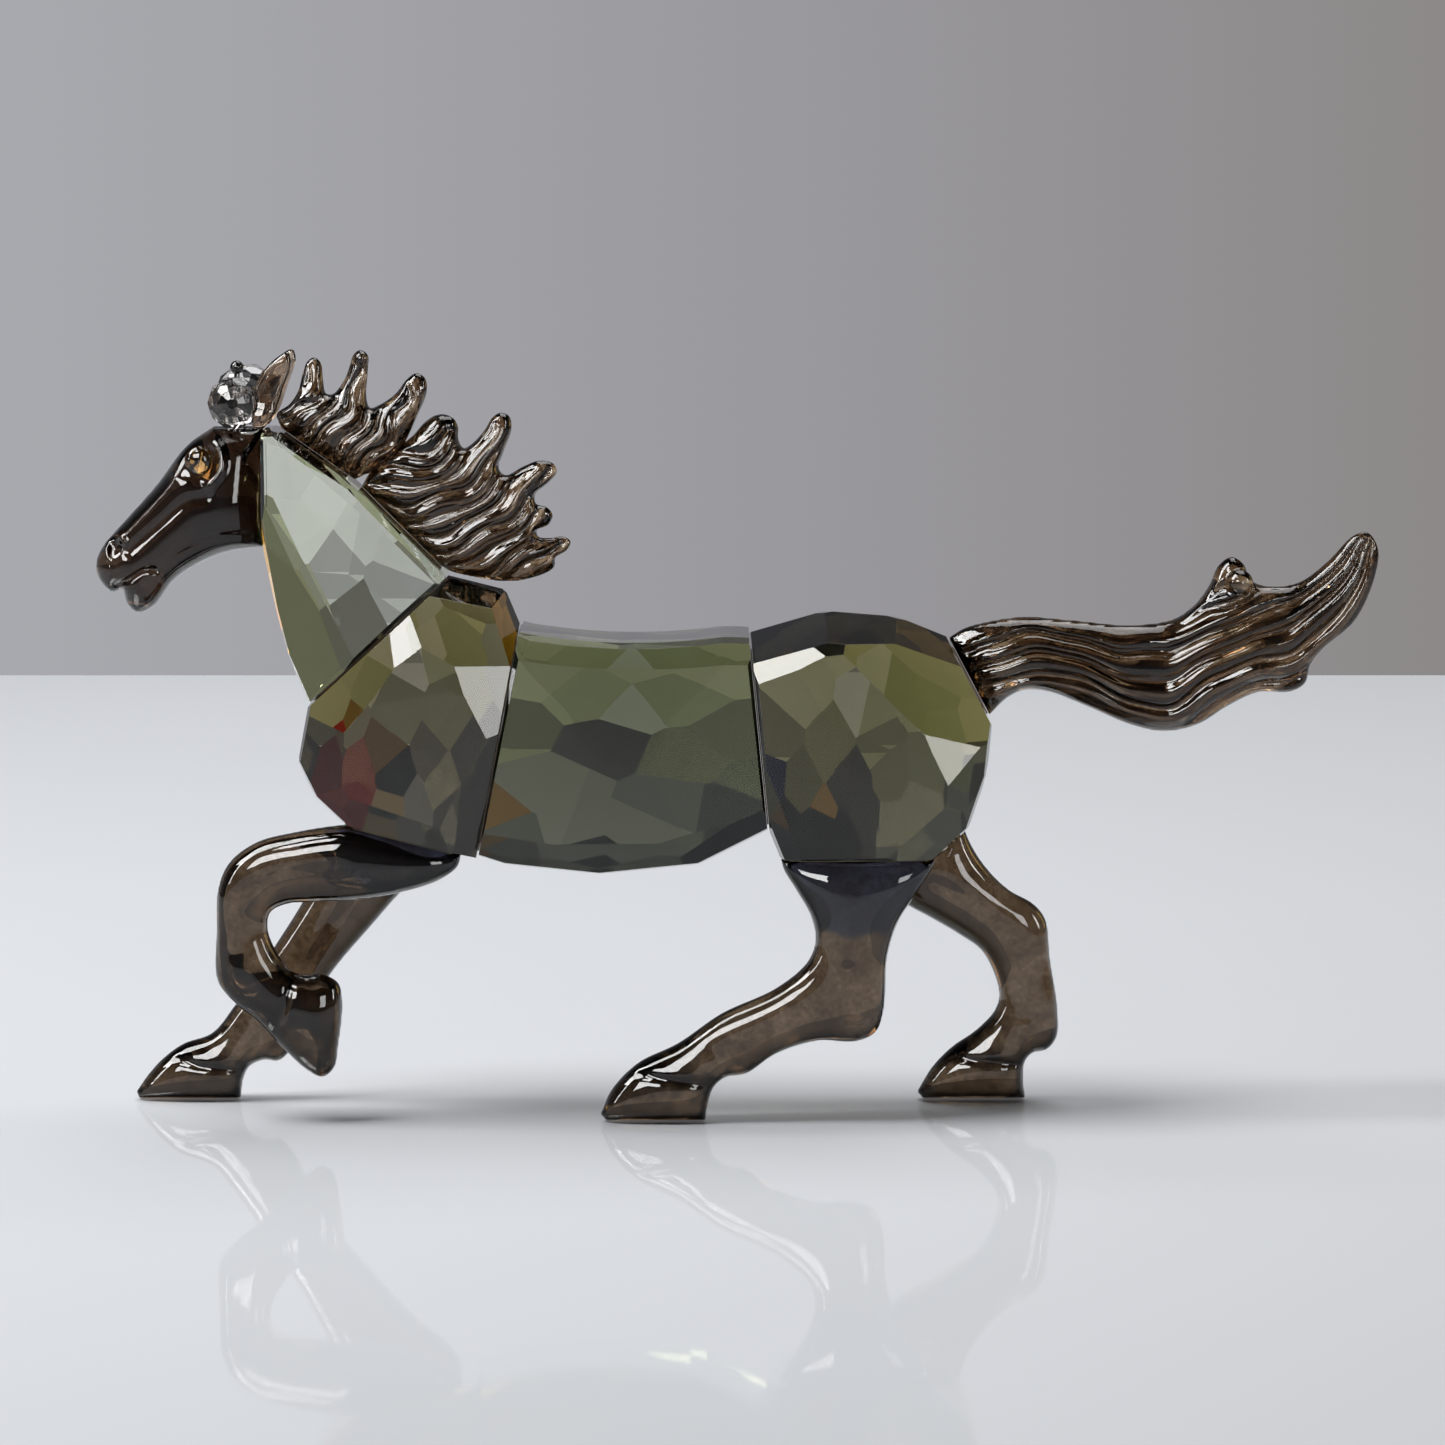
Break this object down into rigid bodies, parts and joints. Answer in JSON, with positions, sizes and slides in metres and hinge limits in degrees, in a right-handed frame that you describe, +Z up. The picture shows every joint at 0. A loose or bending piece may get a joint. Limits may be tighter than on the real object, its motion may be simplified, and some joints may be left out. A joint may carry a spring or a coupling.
{
  "type": "crystal glass figurine",
  "caption": "Free-standing running horse figurine of faceted body crystals glued face to face, with moulded glass head, mane, tail and legs",
  "frame": {"origin": "middle of the bounding box at the height of the hooves' soles", "axes": "+Z up; +X along the horse from head to tail; -Y is the horse's left side; the head points to -X"},
  "size_m": [0.179, 0.03, 0.1068],
  "materials": {
    "cut_crystal": "faceted, polished, pale olive grey, transparent",
    "smoky_glass": "moulded, fire polished, smoky brown, nearly opaque where thick",
    "clear_crystal": "polished, clear, faceted",
    "amber_stone": "foil backed, amber, polished",
    "glue_film": "clear cured adhesive, slightly golden"
  },
  "bodies": {
    "root": {"barrel_crystal": "cut_crystal", "bond_barrel_rump": "glue_film", "bond_foreleg_left": "glue_film", "bond_foreleg_right": "glue_film", "bond_head_neck": "glue_film", "bond_hindleg_left": "glue_film", "bond_hindleg_right": "glue_film", "bond_mane_front": "glue_film", "bond_mane_rear": "glue_film", "bond_neck_shoulder": "glue_film", "bond_shoulder_barrel": "glue_film", "bond_tail_rump": "glue_film", "crown_stone_left": "clear_crystal", "crown_stone_right": "clear_crystal", "ear_left": "smoky_glass", "ear_right": "smoky_glass", "eye_left": "amber_stone", "eye_right": "amber_stone", "foreleg_left": "smoky_glass", "foreleg_right": "smoky_glass", "forelock": "clear_crystal", "head": "smoky_glass", "hindleg_left": "smoky_glass", "hindleg_right": "smoky_glass", "mane_front": "smoky_glass", "mane_rear": "smoky_glass", "neck_crystal": "cut_crystal", "rump_crystal": "cut_crystal", "shoulder_crystal": "cut_crystal", "tail": "smoky_glass"}
  },
  "joints": []
}
